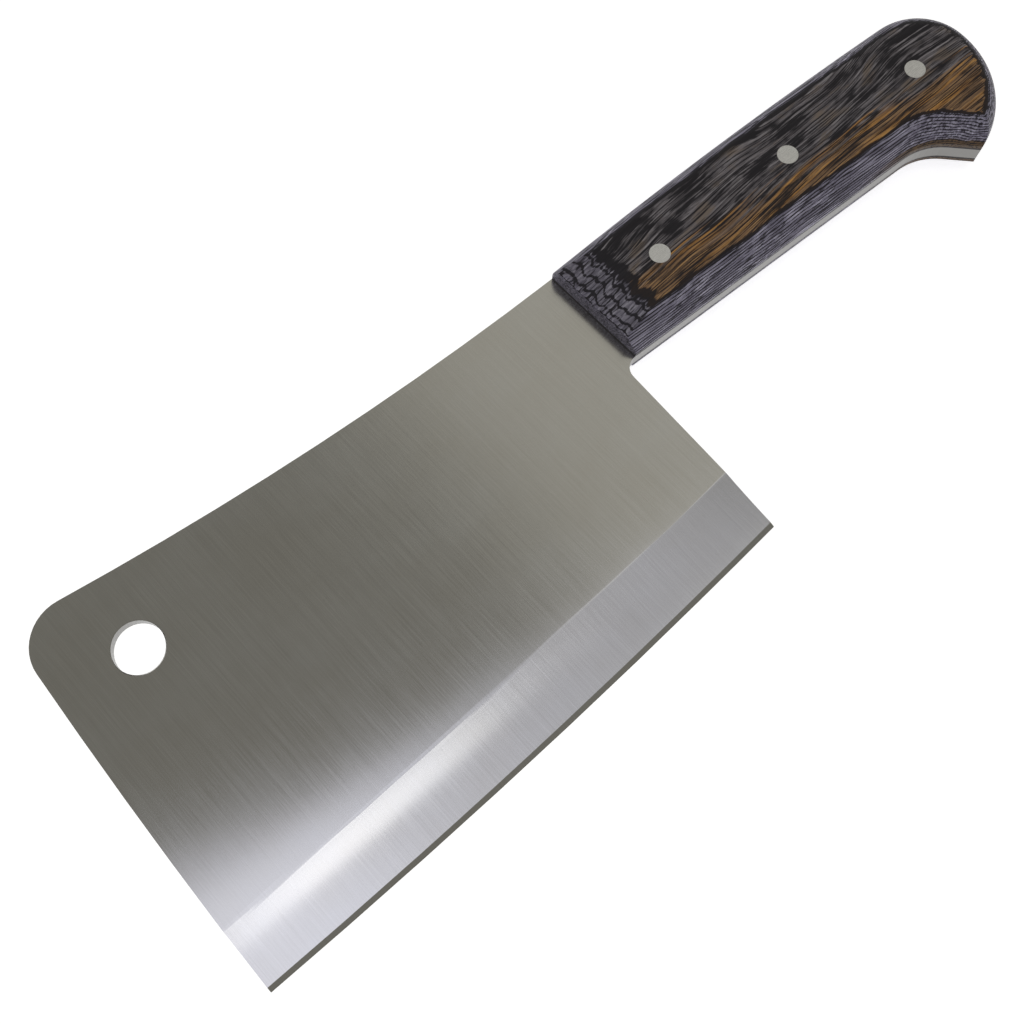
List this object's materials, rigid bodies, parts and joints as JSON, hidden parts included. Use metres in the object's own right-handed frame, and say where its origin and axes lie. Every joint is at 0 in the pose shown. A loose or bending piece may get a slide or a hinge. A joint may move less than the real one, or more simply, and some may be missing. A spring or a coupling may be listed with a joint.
{
  "type": "meat cleaver",
  "caption": "Full-tang meat cleaver with a wide ground blade, hanging hole and riveted laminated wood handle that ends in a hooked butt.",
  "frame": {"origin": "centre of the hanging hole, on the middle plane of the blade", "axes": "+X from the front of the blade to the butt of the handle, +Y from the cutting edge to the spine, +Z out of the blade's left face"},
  "size_m": [0.314, 0.1124, 0.02],
  "materials": {
    "blade_steel": "brushed across the cutting edge",
    "scale_wood": "dyed laminated wood, black and grey with brown streaks, satin",
    "rivet_steel": "ground flush, satin"
  },
  "bodies": {
    "root": {"blade": "blade_steel", "left_scale": "scale_wood", "right_scale": "scale_wood", "front_rivet_socket": "rivet_steel", "front_rivet_stud": "rivet_steel", "middle_rivet_socket": "rivet_steel", "middle_rivet_stud": "rivet_steel", "butt_rivet_socket": "rivet_steel", "butt_rivet_stud": "rivet_steel"}
  },
  "joints": []
}
